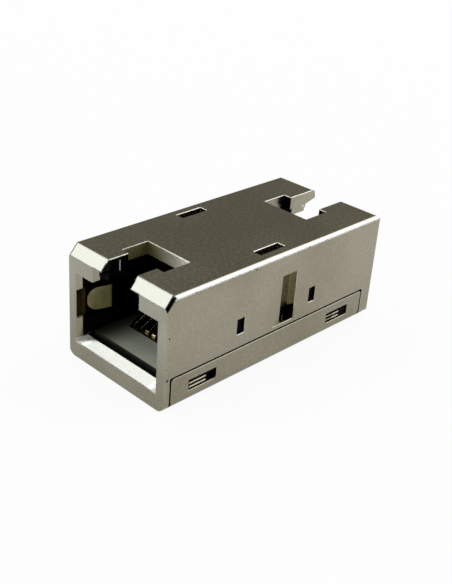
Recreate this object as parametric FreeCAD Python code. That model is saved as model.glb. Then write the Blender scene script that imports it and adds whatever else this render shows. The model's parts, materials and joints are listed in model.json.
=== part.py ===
import FreeCAD, Part
import math
import os

# In-line coupler that joins two eight-way modular network plugs end to end.
# Millimetres. X runs across the body, Y along it and Z up. The origin is the centre
# of the underside, and the front port faces -Y. Depths inside a port are counted from
# its own face, so one description serves both ends.

# Plug port, the same inside at both ends
mouth_width = 11.9
mouth_clear_height = 6.86
latch_clear_height = 1.24
latch_channel_width = 6.68
latch_channel_fall = 0.46
latch_catch_clearance = 0.46
thumb_slot_width = 4.04
thumb_slot_relief = 0.08
thumb_slot_relief_depth = 2.25
thumb_slot_lip = 0.36
latch_pocket_width = 5.94
latch_pocket_run = 3.25
front_latch_shoulder = 0.12
rear_latch_shoulder = 0.3
rim_thickness = 0.9
ledge_depth = 3.1
sill_depth = 1.48
sill_step = 0.5
sill_fall = 0.25
plug_stop_depth = 11.9

# Walls and outer edges of the housing
side_rim = 1.15
side_hall_step = 0.25
top_wall = 1.4
rear_rim_extra = 0.96
bottom_edge_radius = 1.0
top_edge_radius = 0.35
upright_edge_radius = 0.25
front_chamfer_depth = 0.9
front_chamfer_height = 1.07
front_chamfer_end_radius = 0.45
rear_top_radius = 0.8

# Middle web and its openings
web_lead = 0.2
web_side_wall = 0.45
top_window_width = 1.01
top_window_run = 3.46
top_window_from_side = 1.12
top_window_forward = 0.22
catch_run = 3.09
catch_sink = 0.9
catch_height = 5.39
catch_over_cover = 0.44
catch_shoulder_behind_middle = 2.5
catch_hole_run = 1.0
catch_hole_height = 1.15

# Bottom cover
cover_thickness = 0.5
cover_top = 3.64
cover_front_depth = 0.64
cover_corner_radius = 0.25
seam = 0.22
cover_lap_clearance = 0.05
skirt_thickness = 0.5
skirt_lift = 0.45
cover_window_depth = 3.05
cover_window_run = 3.65
cover_window_bottom = 1.36
cover_window_height = 1.17
cover_window_corner = 0.35
barb_run = 2.2
barb_margin = 0.05
barb_proud = 0.18
barb_rib_radius = 0.11
barb_rib_proud = 0.42
barb_rib_low = 0.12
barb_rib_step = 0.44
stop_pad_width = 1.6
stop_pad_length = 2.4
stop_pad_inset = 1.3
stop_pad_depth = 1.2

# Circuit board
board_standoff = 0.55
board_thickness = 0.8
board_side_clearance = 0.45
board_corner_radius = 0.6
board_setback = 0.4

# Contact inserts, each a moulded carrier with a thin floor plate on it
carrier_thickness = 0.45
floor_plate_thickness = 0.2
insert_clearance = 0.05
floor_plate_contact_gap = 0.15
insert_setback = 0.52
insert_side_inset = 0.1
block_side_inset = 0.85
block_behind_tails = 0.85
block_meeting_gap = 0.5
block_roof_clearance = 0.1
comb_run = 2.4
comb_rise = 1.9
comb_full_rise = 3.6
comb_slope_run = 1.02
comb_slot_lead = 0.39
comb_rib_rise = 0.1
insert_peg_radius = 0.55
insert_peg_depth = 8.2
insert_peg_inset = 0.9
insert_peg_length = 1.15
insert_peg_clearance = 0.06

# Contacts
contact_count = 8
contact_pitch = 1.02
contact_width = 0.46
contact_thickness = 0.3
contact_side_clearance = 0.06
contact_board_clearance = 0.06
contact_hole_clearance = 0.08
contact_bend_radius = 0.42
contact_bend_depth = 5.45
contact_bend_height = 0.8
contact_tip_gap = 1.0
contact_tip_rise = 2.85
tail_inside_block = 0.6
tail_row_step = 1.27
tail_length_below_board = 0.4

# Shield springs
spring_thickness = 0.2
spring_height = 2.5
spring_wall_clearance = 0.03
spring_tip_gap = 0.5
spring_tip_offset = 0.12
spring_crest_depth = 3.95
spring_crest_reach = 0.65
spring_crest_radius = 0.3
spring_foot_depth = 5.2
spring_foot_radius = 0.6
spring_hook_radius = 0.2
spring_hook_reach = 0.55
spring_tab_height = 1.5
spring_recess_height = 2.95
spring_recess_skin = 0.15
spring_window_depth = 9.1
spring_window_run = 1.06
spring_window_height = 1.69
spring_window_skin = 0.3
spring_window_relief = 0.35
spring_hook_clearance = 0.03

# Heights, worked out from the bottom up
board_bottom = cover_thickness + board_standoff
board_top = board_bottom + board_thickness
carrier_top = board_top + carrier_thickness
insert_floor_top = carrier_top + floor_plate_thickness
sill_back_height = insert_floor_top - sill_step
sill_front_height = sill_back_height - sill_fall
ledge_height = insert_floor_top + mouth_clear_height
cavity_top = ledge_height + latch_clear_height
body_height = cavity_top + top_wall
chamfer_foot_height = body_height - front_chamfer_height
latch_catch_height = ledge_height + latch_catch_clearance
mouth_centre_height = (insert_floor_top + ledge_height) / 2
skirt_bottom = cover_thickness + skirt_lift
catch_bottom = cover_top + catch_over_cover

# Widths, worked out from the mouth outwards
half_width = mouth_width / 2 + side_rim
body_width = 2 * half_width
cavity_half = mouth_width / 2 + side_hall_step
web_half = half_width - catch_sink - web_side_wall
lap_plane = half_width - cover_thickness
skirt_outer = lap_plane - cover_lap_clearance
skirt_inner = skirt_outer - skirt_thickness
board_half = skirt_inner - board_side_clearance
insert_half = board_half - insert_side_inset
block_half = web_half - block_side_inset
comb_half = contact_count * contact_pitch / 2

# Depths, worked out from the port face inwards
tail_depth = plug_stop_depth + tail_inside_block
block_back_depth = tail_depth + tail_row_step + block_behind_tails
middle_depth = block_back_depth + block_meeting_gap / 2
body_length = 2 * middle_depth + rear_rim_extra
half_length = body_length / 2
middle_y = middle_depth - half_length
web_depth = plug_stop_depth - web_lead
insert_floor_depth = sill_depth + insert_setback
board_end_depth = insert_floor_depth + board_setback
floor_plate_opening_depth = contact_bend_depth - contact_thickness / 2 - floor_plate_contact_gap
floor_plate_end_depth = web_depth - insert_clearance

# Reach of cutting shapes past a face, and the small overlap of fused ones
past = 1.0
overlap = 0.05

V = FreeCAD.Vector
ENDS = ("front", "rear")


def block(x0, x1, y0, y1, z0, z1):
    return Part.makeBox(x1 - x0, y1 - y0, z1 - z0, V(x0, y0, z0))


def centred(width, y0, y1, z0, z1):
    return block(-width / 2, width / 2, y0, y1, z0, z1)


def both_sides(shape):
    """The shape and its mirror image across the long axis."""
    return shape.fuse(shape.mirror(V(0, 0, 0), V(1, 0, 0)))


def fuse_all(shapes):
    return shapes[0].multiFuse(shapes[1:])


def rounded_edges(points, radii, closed):
    """Lines through the points, with an arc of its own radius at each corner."""
    count = len(points)
    corners = []
    for index, (point, radius) in enumerate(zip(points, radii)):
        if radius == 0:
            corners.append((point, None, point))
            continue
        back = (points[index - 1] - point).normalize()
        ahead = (points[(index + 1) % count] - point).normalize()
        half_angle = back.getAngle(ahead) / 2
        run = radius / math.tan(half_angle)
        centre = point + (back + ahead).normalize() * (radius / math.sin(half_angle))
        middle = centre + (point - centre).normalize() * radius
        corners.append((point + back * run, middle, point + ahead * run))
    edges = []
    for index, (start, middle, end) in enumerate(corners):
        if middle is not None:
            edges.append(Part.Arc(start, middle, end).toShape())
        following = corners[(index + 1) % count][0]
        if (closed or index < count - 1) and (following - end).Length > 1e-6:
            edges.append(Part.makeLine(end, following))
    return edges


def prism(points, radii, sweep):
    """A closed outline with rounded corners, pushed along the sweep vector."""
    outline = Part.Wire(rounded_edges(points, radii, True))
    return Part.Face(outline).extrude(sweep)


def bent_strip(points, radii, thickness, sweep):
    """Sheet of even thickness centred on an open path, as wide as the sweep is long."""
    path = Part.Wire(rounded_edges(points, radii, False))
    direction = V(sweep).normalize()
    edges = path.OrderedEdges
    left = []
    right = []
    for edge in edges:
        halfway = (edge.FirstParameter + edge.LastParameter) / 2
        samples = [edge.FirstParameter, halfway, edge.LastParameter]
        if edge.Orientation == "Reversed":
            samples.reverse()
        offsets = []
        for parameter in samples:
            tangent = edge.tangentAt(parameter)
            if edge.Orientation == "Reversed":
                tangent = tangent * -1
            offsets.append((edge.valueAt(parameter), tangent.cross(direction) * (thickness / 2)))
        straight = isinstance(edge.Curve, Part.Line)
        left.append(offset_edge([point + step for point, step in offsets], straight))
        right.append(offset_edge([point - step for point, step in offsets], straight))
    start = Part.makeLine(left[0].Vertexes[0].Point, right[0].Vertexes[0].Point)
    end = Part.makeLine(left[-1].Vertexes[-1].Point, right[-1].Vertexes[-1].Point)
    outline = Part.Wire(Part.__sortEdges__(left + right + [start, end]))
    return Part.Face(outline).extrude(sweep)


def offset_edge(points, straight):
    if straight:
        return Part.makeLine(points[0], points[-1])
    return Part.Arc(*points).toShape()


def at_end(shape, end):
    """Move a shape from port depths to its place in the body."""
    placed = shape.copy()
    if end == "front":
        placed.translate(V(0, -half_length, 0))
        return placed
    placed.rotate(V(0, 0, 0), V(0, 0, 1), 180)
    placed.translate(V(0, half_length, 0))
    return placed


def extra(end):
    """How much further the rear rim stands out from the shared inner layout."""
    return rear_rim_extra if end == "rear" else 0.0


def at_both_ends(make):
    return fuse_all([at_end(make(end), end) for end in ENDS])


def below_front_chamfer():
    """Everything under the sloping front chamfer, whose two ends are rounded over."""
    w = half_width
    reach = 2 * body_length
    radius = front_chamfer_end_radius
    shape = prism(
        [V(-w, -reach, -reach), V(w, -reach, -reach), V(w, -reach, 0), V(-w, -reach, 0)],
        [0, 0, radius, radius],
        V(0, 2 * reach, 0),
    )
    slope = math.atan2(front_chamfer_height, front_chamfer_depth)
    shape.rotate(V(0, 0, 0), V(1, 0, 0), math.degrees(slope))
    shape.translate(V(0, -half_length, chamfer_foot_height))
    return shape


def body_envelope():
    """Outer form: the cross-section, the side profile and the plan, intersected."""
    w = half_width
    h = body_height
    section = prism(
        [V(-w, -half_length, 0), V(w, -half_length, 0), V(w, -half_length, h), V(-w, -half_length, h)],
        [bottom_edge_radius, bottom_edge_radius, top_edge_radius, top_edge_radius],
        V(0, body_length, 0),
    )
    side = prism(
        [V(-w, -half_length, 0), V(-w, half_length, 0), V(-w, half_length, h), V(-w, -half_length, h)],
        [0, 0, rear_top_radius, 0],
        V(body_width, 0, 0),
    )
    plan = prism(
        [V(-w, -half_length, 0), V(w, -half_length, 0), V(w, half_length, 0), V(-w, half_length, 0)],
        [upright_edge_radius] * 4,
        V(0, 0, h),
    )
    return section.common(side).common(plan).common(below_front_chamfer())


def latch_pocket_depth(end):
    shoulder = rear_latch_shoulder if end == "rear" else front_latch_shoulder
    return ledge_depth + extra(end) + shoulder


def port_space(end):
    """Everything that a plug, its latch and a thumb need at one end."""
    more = extra(end)
    rim = rim_thickness + more
    sill = sill_depth + more
    pocket = latch_pocket_depth(end)
    mouth = prism(
        [
            V(-mouth_width / 2, -past, sill_front_height),
            V(-mouth_width / 2, 0, sill_front_height),
            V(-mouth_width / 2, sill, sill_back_height),
            V(-mouth_width / 2, sill, ledge_height),
            V(-mouth_width / 2, -past, ledge_height),
        ],
        [0] * 5,
        V(mouth_width, 0, 0),
    )
    channel_back = chamfer_foot_height - latch_channel_fall
    half_channel = latch_channel_width / 2
    channel_mouth = prism(
        [
            V(-half_channel, -past, ledge_height - past),
            V(-half_channel, rim, ledge_height - past),
            V(-half_channel, rim, channel_back),
            V(-half_channel, 0, chamfer_foot_height),
            V(-half_channel, -past, chamfer_foot_height),
        ],
        [0] * 5,
        V(latch_channel_width, 0, 0),
    )
    latch_channel = centred(
        latch_channel_width, 0, pocket + overlap, ledge_height - past, latch_catch_height
    )
    thumb_slot = centred(thumb_slot_width, -past, pocket + overlap, ledge_height, body_height + past)
    thumb_relief = centred(
        thumb_slot_width + 2 * thumb_slot_relief,
        -past,
        thumb_slot_relief_depth,
        channel_back,
        body_height - thumb_slot_lip,
    )
    latch_pocket = centred(
        latch_pocket_width, pocket, pocket + latch_pocket_run, ledge_height, body_height + past
    )
    web = web_depth + more
    low_hall = centred(2 * cavity_half, rim, web, sill_back_height, ledge_height)
    high_hall = centred(2 * cavity_half, ledge_depth + more, web, ledge_height - overlap, cavity_top)
    recess_low = mouth_centre_height - spring_recess_height / 2
    recess = both_sides(
        block(
            mouth_width / 2 - overlap,
            cavity_half,
            spring_recess_skin,
            rim + overlap,
            recess_low,
            recess_low + spring_recess_height,
        )
    )
    latch_way = [channel_mouth, latch_channel, thumb_slot, thumb_relief, latch_pocket]
    return fuse_all([mouth, low_hall, high_hall, recess] + latch_way)


def middle_cavity():
    """Space of the web, and the open underside between the two sills."""
    front_web = -half_length + web_depth - overlap
    rear_web = half_length - web_depth - rear_rim_extra + overlap
    web_space = centred(2 * web_half, front_web, rear_web, -past, cavity_top)
    front_sill = -half_length + sill_depth
    rear_sill = half_length - sill_depth - rear_rim_extra
    underside = centred(2 * skirt_inner, front_sill, rear_sill, -past, sill_back_height + overlap)
    return web_space.fuse(underside)


def cover_bed():
    """Rebate that the cover lies in: the lap on each side and the flat underneath."""
    front = -half_length + cover_front_depth
    rear = half_length - cover_front_depth - rear_rim_extra
    lap = prism(
        [
            V(skirt_outer, front, -past),
            V(skirt_outer, rear, -past),
            V(skirt_outer, rear, cover_top),
            V(skirt_outer, front, cover_top),
        ],
        [0, 0, cover_corner_radius, cover_corner_radius],
        V(cover_thickness + past, 0, 0),
    )
    flat = centred(2 * skirt_outer + past, front, rear, -past, skirt_bottom)
    return both_sides(lap).fuse(flat)


def top_windows():
    outer = half_width - top_window_from_side
    centre = middle_y - top_window_forward
    return both_sides(
        block(
            outer - top_window_width,
            outer,
            centre - top_window_run / 2,
            centre + top_window_run / 2,
            cavity_top - past,
            body_height + past,
        )
    )


def spring_windows(end):
    """Window for each spring's hook, relieved from inside so that its edge is thin."""
    start = spring_window_depth + extra(end)
    stop = start + spring_window_run
    low = mouth_centre_height - spring_window_height / 2
    high = low + spring_window_height
    more = spring_window_relief
    window = block(cavity_half - overlap, half_width + past, start, stop, low, high)
    relief = block(
        cavity_half - overlap,
        half_width - spring_window_skin,
        start - more,
        stop + more,
        low - more,
        high + more,
    )
    return both_sides(window.fuse(relief))


def side_catches():
    """Panel catch on each side: a straight ramp down from flush to a square shoulder."""
    shoulder = middle_y + catch_shoulder_behind_middle
    start = shoulder - catch_run
    ramp_cut = prism(
        [
            V(half_width, start, catch_bottom),
            V(half_width - catch_sink, shoulder, catch_bottom),
            V(half_width + past, shoulder, catch_bottom),
            V(half_width + past, start, catch_bottom),
        ],
        [0] * 4,
        V(0, 0, catch_height),
    )
    drain = block(
        web_half - overlap,
        half_width,
        shoulder - catch_hole_run,
        shoulder,
        catch_bottom,
        catch_bottom + catch_hole_height,
    )
    return both_sides(ramp_cut.fuse(drain))


def skirt_holes(end):
    """Opening in the skirt behind the inner part of each cover window."""
    start = cover_window_depth + barb_run + extra(end)
    return both_sides(
        block(
            skirt_inner - overlap,
            skirt_outer + overlap,
            start + barb_rib_radius,
            cover_window_depth + cover_window_run + extra(end),
            cover_window_bottom,
            cover_window_bottom + cover_window_height,
        )
    )


def cover_barbs(end):
    """Two-ribbed barb that snaps into each cover window."""
    start = cover_window_depth + extra(end) + seam
    low = cover_window_bottom + barb_margin
    high = cover_window_bottom + cover_window_height - barb_margin
    foot = block(
        skirt_outer - overlap,
        skirt_outer + barb_proud,
        start,
        start + barb_run,
        low,
        high,
    )
    ribs = []
    for step in range(2):
        height = low + barb_rib_low + step * barb_rib_step
        reach = skirt_outer + barb_rib_proud - barb_rib_radius
        rib = Part.makeCylinder(barb_rib_radius, barb_run, V(reach, start, height), V(0, 1, 0))
        stem = block(
            skirt_outer,
            reach,
            start,
            start + barb_run,
            height - barb_rib_radius,
            height + barb_rib_radius,
        )
        ribs.append(rib.fuse(stem))
    return both_sides(fuse_all([foot] + ribs))


def housing():
    shape = body_envelope()
    cuts = [
        at_both_ends(port_space),
        middle_cavity(),
        cover_bed(),
        top_windows(),
        at_both_ends(spring_windows),
        side_catches(),
        at_both_ends(skirt_holes),
    ]
    for cut in cuts:
        shape = shape.cut(cut)
    return shape.fuse(at_both_ends(cover_barbs)).removeSplitter()


def cover_section(width, height, radius, y0, y1):
    """Solid U-shaped trough section, closed at the top, between two depths."""
    return prism(
        [V(-width / 2, y0, 0), V(width / 2, y0, 0), V(width / 2, y0, height), V(-width / 2, y0, height)],
        [radius, radius, 0, 0],
        V(0, y1 - y0, 0),
    )


def cover_windows(end):
    start = cover_window_depth + extra(end)
    stop = start + cover_window_run
    top = cover_window_bottom + cover_window_height
    x = lap_plane - past
    return both_sides(
        prism(
            [
                V(x, start, cover_window_bottom),
                V(x, stop, cover_window_bottom),
                V(x, stop, top),
                V(x, start, top),
            ],
            [0, cover_window_corner, 0, 0],
            V(cover_thickness + 2 * past, 0, 0),
        )
    )


def bottom_cover():
    front = -half_length + cover_front_depth + seam
    rear = half_length - cover_front_depth - rear_rim_extra - seam
    top = cover_top - seam
    outer = cover_section(body_width, top, bottom_edge_radius, front, rear)
    inner = cover_section(
        2 * lap_plane, top + past, bottom_edge_radius - cover_thickness, front - past, rear + past
    )
    inner.translate(V(0, 0, cover_thickness))
    corners = prism(
        [
            V(-half_width, front, -past),
            V(-half_width, rear, -past),
            V(-half_width, rear, top),
            V(-half_width, front, top),
        ],
        [0, 0, cover_corner_radius, cover_corner_radius],
        V(body_width, 0, 0),
    )
    shape = outer.cut(inner).common(corners)
    shape = shape.cut(at_both_ends(cover_windows))
    pads = []
    for end in ENDS:
        centre = board_end_depth + extra(end) + stop_pad_depth + stop_pad_length / 2
        for side in (-1, 1):
            x = side * (board_half - stop_pad_inset)
            pad = block(
                x - stop_pad_width / 2,
                x + stop_pad_width / 2,
                centre - stop_pad_length / 2,
                centre + stop_pad_length / 2,
                cover_thickness - overlap,
                board_bottom,
            )
            pads.append(at_end(pad, end))
    return shape.fuse(fuse_all(pads)).removeSplitter()


def contact_x(index):
    return (index - (contact_count - 1) / 2) * contact_pitch


def tail_place(index):
    return tail_depth + tail_row_step * (index % 2)


def contact_run_height():
    return board_top + contact_board_clearance + contact_thickness / 2


def contact(index):
    """Formed contact: tail pin, run along the board, turn, and spring arm."""
    x = contact_x(index) - contact_width / 2
    run = contact_run_height()
    tail = tail_place(index)
    path = [
        V(x, tail, board_bottom - tail_length_below_board),
        V(x, tail, run),
        V(x, contact_bend_depth, run),
        V(x, contact_bend_depth, run + contact_bend_height),
        V(x, plug_stop_depth - contact_tip_gap, insert_floor_top + contact_tip_rise),
    ]
    radii = [0, contact_bend_radius / 2, contact_bend_radius, contact_bend_radius, 0]
    return bent_strip(path, radii, contact_thickness, V(contact_width, 0, 0))


def comb_slots():
    """Slots that the contacts lie in, open to the board below and to the comb above."""
    slots = []
    width = contact_width + 2 * contact_side_clearance
    front = contact_bend_depth - comb_slot_lead
    for index in range(contact_count):
        low_x = contact_x(index) - width / 2
        high_x = low_x + width
        back = tail_place(index) + contact_thickness / 2 + contact_side_clearance
        low = block(low_x, high_x, front, back, board_top - past, carrier_top)
        high = block(
            low_x,
            high_x,
            front,
            plug_stop_depth,
            carrier_top - overlap,
            insert_floor_top + comb_full_rise + past,
        )
        slots.append(low.fuse(high))
    return fuse_all(slots)


def insert_pegs(radius, low, high):
    """Pair of round pegs under the floor, or the holes that take them in the board."""
    base = V(insert_half - insert_peg_inset, insert_peg_depth, low)
    return both_sides(Part.makeCylinder(radius, high - low, base))


def insert(end):
    """Moulded carrier: base, ribs between the contacts, sloping comb and rear block."""
    base = centred(2 * insert_half, insert_floor_depth, floor_plate_end_depth, board_top, carrier_top)
    neck = centred(
        2 * block_half,
        floor_plate_end_depth - overlap,
        plug_stop_depth + overlap,
        board_top,
        carrier_top,
    )
    rear_block = centred(
        2 * block_half, plug_stop_depth, block_back_depth, board_top, cavity_top - block_roof_clearance
    )
    ribs = centred(
        2 * comb_half,
        floor_plate_opening_depth + insert_clearance,
        plug_stop_depth + overlap,
        carrier_top - overlap,
        insert_floor_top + comb_rib_rise,
    )
    comb_front = plug_stop_depth - comb_run
    comb = prism(
        [
            V(-comb_half, comb_front, carrier_top - overlap),
            V(-comb_half, plug_stop_depth + overlap, carrier_top - overlap),
            V(-comb_half, plug_stop_depth + overlap, insert_floor_top + comb_full_rise),
            V(-comb_half, comb_front + comb_slope_run, insert_floor_top + comb_full_rise),
            V(-comb_half, comb_front, insert_floor_top + comb_rise),
        ],
        [0] * 5,
        V(2 * comb_half, 0, 0),
    )
    pegs = insert_pegs(insert_peg_radius, board_top - insert_peg_length, board_top + overlap)
    shape = fuse_all([base, neck, rear_block, ribs, comb, pegs]).cut(comb_slots())
    shape.translate(V(0, extra(end), 0))
    return at_end(shape.removeSplitter(), end)


def floor_plate(end):
    """Thin plate that the plug slides over, open around the contacts and their comb."""
    sheet = centred(
        2 * insert_half, insert_floor_depth, floor_plate_end_depth, carrier_top, insert_floor_top
    )
    opening = centred(
        2 * (comb_half + insert_clearance),
        floor_plate_opening_depth,
        plug_stop_depth,
        carrier_top - past,
        insert_floor_top + past,
    )
    shape = sheet.cut(opening)
    shape.translate(V(0, extra(end), 0))
    return at_end(shape, end)


def circuit_board():
    front = -half_length + board_end_depth
    rear = half_length - board_end_depth - rear_rim_extra
    shape = prism(
        [
            V(-board_half, front, board_bottom),
            V(board_half, front, board_bottom),
            V(board_half, rear, board_bottom),
            V(-board_half, rear, board_bottom),
        ],
        [board_corner_radius] * 4,
        V(0, 0, board_thickness),
    )
    radius = math.hypot(contact_width, contact_thickness) / 2 + contact_hole_clearance
    holes = []
    for end in ENDS:
        for index in range(contact_count):
            hole = Part.makeCylinder(
                radius,
                board_thickness + 2 * past,
                V(contact_x(index), tail_place(index) + extra(end), board_bottom - past),
            )
            holes.append(at_end(hole, end))
        peg_hole = insert_pegs(
            insert_peg_radius + insert_peg_clearance, board_bottom - past, board_top + past
        )
        peg_hole.translate(V(0, extra(end), 0))
        holes.append(at_end(peg_hole, end))
    return shape.cut(fuse_all(holes))


def shield_spring(end, side):
    """Bowed strip beside the plug, hooked into the window of the side wall."""
    seat = cavity_half - spring_wall_clearance - spring_thickness / 2
    low = mouth_centre_height - spring_height / 2
    tip = rim_thickness + spring_tip_gap
    hook = spring_window_depth + spring_hook_clearance + spring_thickness / 2
    points = [
        V(seat - spring_tip_offset, tip, low),
        V(mouth_width / 2 - spring_crest_reach, spring_crest_depth, low),
        V(seat, spring_foot_depth, low),
        V(seat, hook, low),
        V(seat + spring_hook_reach, hook, low),
    ]
    radii = [0, spring_crest_radius, spring_foot_radius, spring_hook_radius, 0]
    strip = bent_strip(points, radii, spring_thickness, V(0, 0, spring_height))
    tab_low = mouth_centre_height - spring_tab_height / 2
    neck = spring_window_depth - spring_thickness
    nose = spring_height / 2 - overlap
    outline = prism(
        [
            V(0, tip - overlap, low),
            V(0, neck, low),
            V(0, neck, tab_low),
            V(0, hook + past, tab_low),
            V(0, hook + past, tab_low + spring_tab_height),
            V(0, neck, tab_low + spring_tab_height),
            V(0, neck, low + spring_height),
            V(0, tip - overlap, low + spring_height),
        ],
        [nose, 0, 0, 0, 0, 0, 0, nose],
        V(half_width, 0, 0),
    )
    spring = strip.common(outline)
    if side == "left":
        spring = spring.mirror(V(0, 0, 0), V(1, 0, 0))
    spring.translate(V(0, extra(end), 0))
    return at_end(spring, end)


def side_seen(end, side):
    """The half turn of the rear port swaps its left and right."""
    if end == "front":
        return side
    return "left" if side == "right" else "right"


def save(shape, node):
    if shape.ShapeType != "Solid" and len(shape.Solids) == 1:
        shape = shape.Solids[0]
    box = shape.BoundBox
    print("%-22s solids %d valid %s volume %.2f box %.2f %.2f %.2f to %.2f %.2f %.2f" % (
        node, len(shape.Solids), shape.isValid(), shape.Volume,
        box.XMin, box.YMin, box.ZMin, box.XMax, box.YMax, box.ZMax,
    ))
    shape.exportStep("parts/%s.step" % node)


os.makedirs("parts", exist_ok=True)
save(housing(), "housing")
save(bottom_cover(), "bottom_cover")
save(circuit_board(), "circuit_board")
for end in ENDS:
    save(insert(end), end + "_insert")
    save(floor_plate(end), end + "_floor_plate")
    for number in range(contact_count):
        pin = contact(number)
        pin.translate(V(0, extra(end), 0))
        save(at_end(pin, end), "%s_contact_%d" % (end, number + 1))
    for side in ("left", "right"):
        save(shield_spring(end, side_seen(end, side)), "%s_spring_%s" % (end, side))
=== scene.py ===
# %% [markdown]
# # A metal in-line coupler for network plugs
# The real object is a thumb-sized block of zinc, plated in satin nickel. A modular plug
# goes into each end, a formed cover closes the underside, and gold contacts run between
# the two ports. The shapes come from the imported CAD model, which stays as it is. This
# lesson adds the studio, the camera and the finishes, and the small parts that only the
# eye needs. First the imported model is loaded, because everything else is measured from it.

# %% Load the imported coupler
import json
import math

import bmesh
import bpy
from mathutils import Matrix, Vector


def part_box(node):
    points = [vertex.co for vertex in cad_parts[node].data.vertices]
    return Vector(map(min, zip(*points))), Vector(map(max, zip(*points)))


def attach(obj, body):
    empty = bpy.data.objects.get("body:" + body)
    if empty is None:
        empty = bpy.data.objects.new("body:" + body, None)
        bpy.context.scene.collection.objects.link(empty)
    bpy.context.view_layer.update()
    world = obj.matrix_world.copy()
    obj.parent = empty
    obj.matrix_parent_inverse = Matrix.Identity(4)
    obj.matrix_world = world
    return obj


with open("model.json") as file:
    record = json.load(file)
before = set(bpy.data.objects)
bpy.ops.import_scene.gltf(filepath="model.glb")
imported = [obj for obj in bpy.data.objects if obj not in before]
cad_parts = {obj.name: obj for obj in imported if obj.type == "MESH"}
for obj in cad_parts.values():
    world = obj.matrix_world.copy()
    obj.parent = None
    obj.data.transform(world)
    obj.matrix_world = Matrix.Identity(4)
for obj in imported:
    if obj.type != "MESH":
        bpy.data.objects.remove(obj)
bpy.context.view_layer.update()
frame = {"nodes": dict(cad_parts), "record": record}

MM = 0.001
housing_low, housing_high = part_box("housing")
print("CAD nodes:", len(frame["nodes"]))
print("housing in mm:", [round(v / MM, 2) for v in housing_high - housing_low])

# %% [markdown]
# ## The camera
# The photograph looks down on the front right-hand corner from close by, so the far end
# looks clearly smaller than the near one. A camera could be set by eye, but then the
# proportions drift. Here its angles, distance and aim were worked out from the corners
# of the block in the picture, so they are written down as plain numbers.

# %% Camera at the photograph's angle
IMAGE_WIDTH = 452
IMAGE_HEIGHT = 584
CAMERA_AZIMUTH = math.radians(42.82)
CAMERA_ELEVATION = math.radians(27.84)
CAMERA_ROLL = math.radians(4.31)
CAMERA_DISTANCE = 98.18 * MM
CAMERA_FOCAL_PIXELS = 933.8
CAMERA_ANCHOR = Vector((0, 2.65, 7.0)) * MM
CAMERA_SIDESTEP = -2.14 * MM
CAMERA_RISE = -2.94 * MM
CAMERA_NEAR = 1 * MM
CAMERA_FAR = 10.0
SENSOR_SIZE = 36.0


def direction(azimuth, elevation):
    """Unit vector towards a place in the studio: azimuth 0 is in front, 90 degrees is right."""
    return Vector((
        math.sin(azimuth) * math.cos(elevation),
        -math.cos(azimuth) * math.cos(elevation),
        math.sin(elevation),
    ))


back = direction(CAMERA_AZIMUTH, CAMERA_ELEVATION)
level_right = Vector((math.cos(CAMERA_AZIMUTH), math.sin(CAMERA_AZIMUTH), 0))
level_up = back.cross(level_right)
aim = CAMERA_ANCHOR + level_right * CAMERA_SIDESTEP + level_up * CAMERA_RISE
right = level_right * math.cos(CAMERA_ROLL) + level_up * math.sin(CAMERA_ROLL)
up = level_up * math.cos(CAMERA_ROLL) - level_right * math.sin(CAMERA_ROLL)
turn = Matrix((right, up, back)).transposed().to_4x4()

camera_data = bpy.data.cameras.new("photo_camera")
camera_data.sensor_fit = "AUTO"
camera_data.sensor_width = SENSOR_SIZE
camera_data.lens = CAMERA_FOCAL_PIXELS / max(IMAGE_WIDTH, IMAGE_HEIGHT) * SENSOR_SIZE
camera_data.clip_start = CAMERA_NEAR
camera_data.clip_end = CAMERA_FAR
camera = bpy.data.objects.new("photo_camera", camera_data)
camera.matrix_world = Matrix.Translation(aim + back * CAMERA_DISTANCE) @ turn
bpy.context.scene.collection.objects.link(camera)
bpy.context.scene.camera = camera
bpy.context.scene.view_settings.view_transform = "Standard"
print("lens in mm:", round(camera_data.lens, 2))
print("camera place in mm:", [round(v / MM, 2) for v in camera.matrix_world.translation])

# %% [markdown]
# ## Helpers for materials
# Every finish here is a small web of nodes. Written out in full, each node takes four or
# five lines, so a helper makes a node, sets its values and joins its inputs in one step.
# Colours are given as they look on a screen, from 0 to 255, and are turned into the
# linear values that the renderer works with, or they are given as linear values at once.

# %% Colours, nodes and an empty material
SCREEN_TOE = 0.04045
OPAQUE = (1.0,)


def screen_colour(red, green, blue):
    """Linear RGBA for a colour given as screen values from 0 to 255."""
    linear = []
    for value in (red, green, blue):
        share = value / 255
        linear.append(share / 12.92 if share <= SCREEN_TOE else ((share + 0.055) / 1.055) ** 2.4)
    return tuple(linear) + OPAQUE


def scaled(tint, *factors):
    """The tint with its red, green and blue multiplied, none of them above 1."""
    return tuple(min(1.0, value * factor) for value, factor in zip(tint, factors)) + OPAQUE


def add_node(tree, kind, inputs=None, **settings):
    """A new node, with settings such as operation, and inputs that are values or sockets."""
    node = tree.nodes.new(kind)
    for name, value in settings.items():
        setattr(node, name, value)
    for socket, value in (inputs or {}).items():
        if isinstance(value, bpy.types.NodeSocket):
            tree.links.new(value, node.inputs[socket])
        else:
            node.inputs[socket].default_value = value
    return node


def start_material(name):
    """A material with an empty Principled shader that is already joined to the output."""
    material = bpy.data.materials.new(name)
    material.use_nodes = True
    tree = material.node_tree
    tree.nodes.clear()
    shader = add_node(tree, "ShaderNodeBsdfPrincipled")
    add_node(tree, "ShaderNodeOutputMaterial", {"Surface": shader.outputs["BSDF"]})
    return material, tree, shader


print("screen grey 128 is", round(screen_colour(128, 128, 128)[0], 3), "in linear light")

# %% [markdown]
# ## Sums with masks
# A mask is a number from 0 to 1 at each point of a surface: how worn, how dark, how far
# inside a zone. Blender does sums on it with Math nodes. Short names for the four sums
# that come back all the time keep the recipes below readable.

# %% Sums, ramps, noise and blends
BLOTCHES = (0.3, 0.7)


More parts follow.
